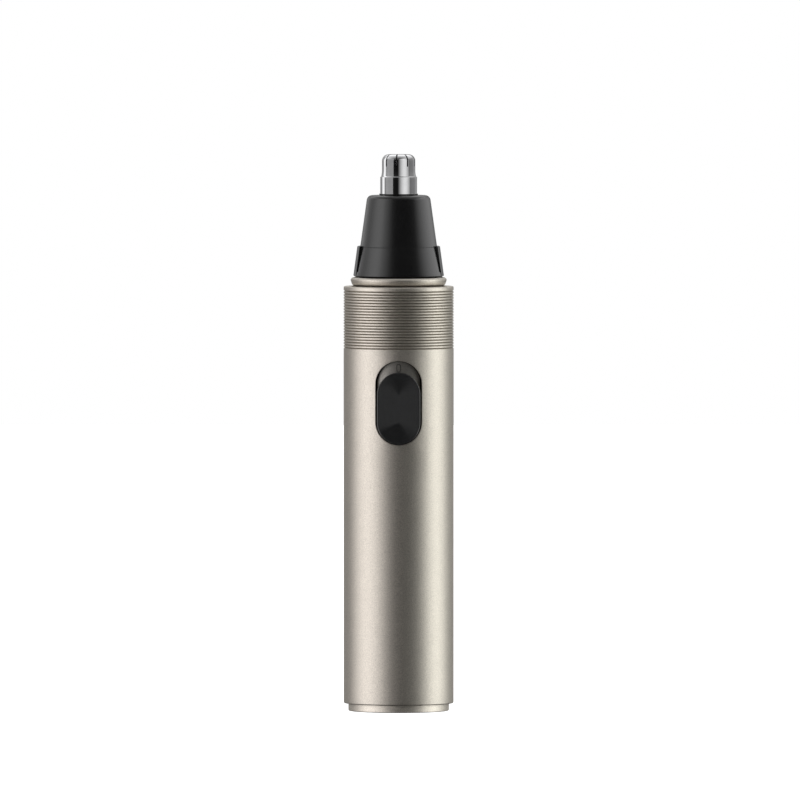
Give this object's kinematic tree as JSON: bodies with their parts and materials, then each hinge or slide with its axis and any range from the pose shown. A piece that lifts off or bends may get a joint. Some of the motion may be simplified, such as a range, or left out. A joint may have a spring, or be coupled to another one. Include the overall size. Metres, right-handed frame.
{
  "type": "nose hair trimmer",
  "caption": "Slim round battery nose hair trimmer with a grooved metal barrel, a thumb slide switch, a black conical head, a slotted rotary blade and a twist-off battery cap.",
  "frame": {"origin": "middle of the underside of the battery cap, on the barrel's axis", "axes": "+Z along the barrel towards the blade; the thumb switch faces -Y"},
  "size_m": [0.0244, 0.0249, 0.124],
  "materials": {
    "champagne_metal": "satin",
    "champagne_cap": "satin",
    "head_plastic": "satin",
    "switch_plastic": "matte",
    "recess_plastic": "satin",
    "chassis_plastic": "matte",
    "nylon_white": "matte",
    "nylon_black": "matte",
    "blade_chrome": "polished",
    "blade_steel": "brushed",
    "steel": "satin",
    "nickel": "satin",
    "brass": "satin",
    "copper": "satin",
    "lamination": "matte",
    "ferrite": "matte",
    "cell_can": "satin",
    "cell_wrap": "satin",
    "board": "matte",
    "ceramic": "matte",
    "seal_rubber": "matte",
    "lead_red": "matte",
    "lead_black": "matte"
  },
  "bodies": {
    "housing": {"barrel_sleeve": "champagne_metal", "neck_ring": "champagne_metal", "neck_spigot": "chassis_plastic", "shaft_seal": "seal_rubber", "motor_cradle": "chassis_plastic", "chassis_screws": "steel", "battery_tube": "chassis_plastic", "base_collar": "chassis_plastic", "battery_cell": "cell_can", "battery_wrap": "cell_wrap", "battery_positive_cap": "nickel", "positive_contact": "nickel", "negative_strip": "nickel", "switch_track": "recess_plastic", "switch_board": "board", "fixed_contact_battery": "brass", "fixed_contact_motor": "brass", "detent_spring": "steel", "motor_can": "steel", "motor_end_bell": "nylon_black", "motor_terminals": "brass", "motor_brushes": "brass", "motor_magnets": "ferrite", "motor_rear_bush": "brass", "motor_front_bush": "brass", "suppressor_capacitor": "ceramic", "positive_lead": "lead_red", "motor_lead": "lead_black"},
    "thumb_switch": {"switch_button": "switch_plastic", "switch_slider": "nylon_white", "contact_bridge": "brass"},
    "rotor": {"motor_shaft": "steel", "commutator": "copper", "rotor_core": "lamination", "rotor_windings": "copper", "drive_coupler": "nylon_white"},
    "head_carriage": {"head_seal": "seal_rubber"},
    "head": {"grip_ring": "head_plastic", "head_cone": "head_plastic", "outer_blade": "blade_chrome", "blade_retainer": "nylon_black", "carrier_bush": "brass"},
    "cutter": {"blade_carrier": "nylon_white", "inner_blade": "blade_steel", "thrust_spring": "steel"},
    "cap_carriage": {"cap_seal": "seal_rubber"},
    "cap": {"battery_cap": "champagne_cap", "spring_plate": "nickel", "negative_spring": "nickel"}
  },
  "joints": [
    {"name": "switch_slide", "type": "slide", "parent": "housing", "child": "thumb_switch", "axis": [0, 0, 1], "range_m": [0, 0.0023]},
    {"name": "motor_spin", "type": "hinge", "parent": "housing", "child": "rotor", "pos_m": [0, 0, 0.076], "axis": [0, 0, 1], "continuous": true},
    {"name": "head_lift", "type": "slide", "parent": "housing", "child": "head_carriage", "axis": [0, 0, 1], "range_m": [0, 0.009]},
    {"name": "head_turn", "type": "hinge", "parent": "head_carriage", "child": "head", "pos_m": [0, 0, 0.099], "axis": [0, 0, 1], "range_deg": [0, 270]},
    {"name": "cutter_spin", "type": "hinge", "parent": "head_carriage", "child": "cutter", "pos_m": [0, 0, 0.112], "axis": [0, 0, 1], "continuous": true},
    {"name": "cap_pull", "type": "slide", "parent": "housing", "child": "cap_carriage", "axis": [0, 0, -1], "range_m": [0, 0.0095]},
    {"name": "cap_turn", "type": "hinge", "parent": "cap_carriage", "child": "cap", "pos_m": [0, 0, 0.006], "axis": [0, 0, -1], "range_deg": [0, 285]}
  ],
  "couplings": [
    {"joint": "head_turn", "follows": "head_lift", "rad_per_m": 523.6},
    {"joint": "cutter_spin", "follows": "motor_spin", "ratio": 1},
    {"joint": "cap_turn", "follows": "cap_pull", "rad_per_m": 523.6}
  ]
}
